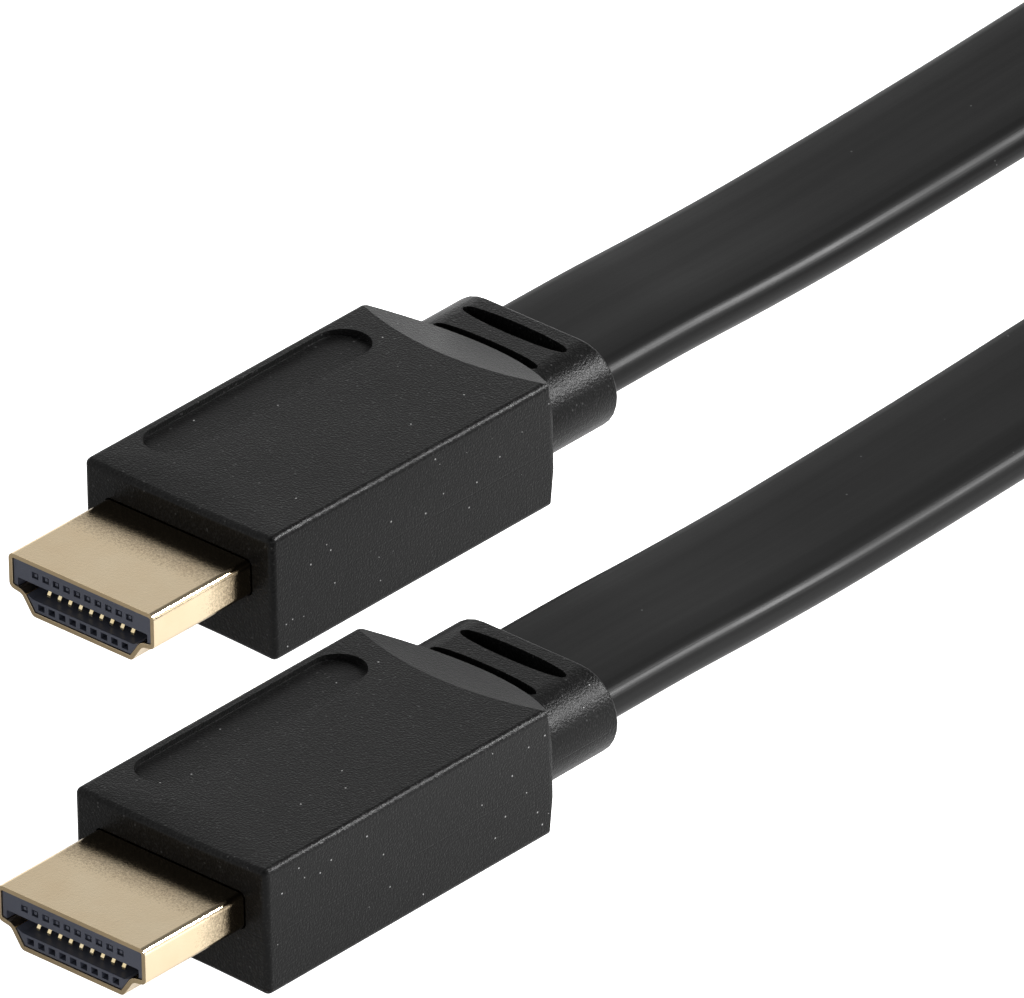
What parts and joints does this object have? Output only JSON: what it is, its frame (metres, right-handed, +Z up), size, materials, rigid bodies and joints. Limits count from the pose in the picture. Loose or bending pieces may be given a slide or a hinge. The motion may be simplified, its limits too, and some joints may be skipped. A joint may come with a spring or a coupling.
{
  "type": "hdmi cable",
  "caption": "Flat digital video cable with a gold shelled moulded plug at each end, the spare length rolled on edge and tied.",
  "frame": {"origin": "centre of the two plugs' common footprint, on the surface that they lie on", "axes": "+Z up from that surface; +Y from the plugs' mouths towards their cords; +X from the left plug to the right one"},
  "size_m": [0.1507, 0.2814, 0.0153],
  "materials": {
    "shell_gold": "satin gold plating, pale",
    "contact_gold": "bright gold plating",
    "holder_plastic": "dark blue-grey moulded plastic, smooth",
    "mould_black": "fine grained matt black",
    "cord_jacket": "smooth satin black jacket",
    "tie_strap": "woven hook and loop strap, matt black"
  },
  "bodies": {
    "root": {"left_plug_shell": "shell_gold", "left_plug_contact_holder": "holder_plastic", "left_plug_overmould": "mould_black", "left_plug_upper_contact_1": "contact_gold", "left_plug_upper_contact_2": "contact_gold", "left_plug_upper_contact_3": "contact_gold", "left_plug_upper_contact_4": "contact_gold", "left_plug_upper_contact_5": "contact_gold", "left_plug_upper_contact_6": "contact_gold", "left_plug_upper_contact_7": "contact_gold", "left_plug_upper_contact_8": "contact_gold", "left_plug_upper_contact_9": "contact_gold", "left_plug_upper_contact_10": "contact_gold", "left_plug_lower_contact_1": "contact_gold", "left_plug_lower_contact_2": "contact_gold", "left_plug_lower_contact_3": "contact_gold", "left_plug_lower_contact_4": "contact_gold", "left_plug_lower_contact_5": "contact_gold", "left_plug_lower_contact_6": "contact_gold", "left_plug_lower_contact_7": "contact_gold", "left_plug_lower_contact_8": "contact_gold", "left_plug_lower_contact_9": "contact_gold", "right_plug_shell": "shell_gold", "right_plug_contact_holder": "holder_plastic", "right_plug_overmould": "mould_black", "right_plug_upper_contact_1": "contact_gold", "right_plug_upper_contact_2": "contact_gold", "right_plug_upper_contact_3": "contact_gold", "right_plug_upper_contact_4": "contact_gold", "right_plug_upper_contact_5": "contact_gold", "right_plug_upper_contact_6": "contact_gold", "right_plug_upper_contact_7": "contact_gold", "right_plug_upper_contact_8": "contact_gold", "right_plug_upper_contact_9": "contact_gold", "right_plug_upper_contact_10": "contact_gold", "right_plug_lower_contact_1": "contact_gold", "right_plug_lower_contact_2": "contact_gold", "right_plug_lower_contact_3": "contact_gold", "right_plug_lower_contact_4": "contact_gold", "right_plug_lower_contact_5": "contact_gold", "right_plug_lower_contact_6": "contact_gold", "right_plug_lower_contact_7": "contact_gold", "right_plug_lower_contact_8": "contact_gold", "right_plug_lower_contact_9": "contact_gold", "left_cord_lead": "cord_jacket", "right_cord_lead": "cord_jacket", "cord_coil": "cord_jacket", "coil_tie": "tie_strap"}
  },
  "joints": []
}
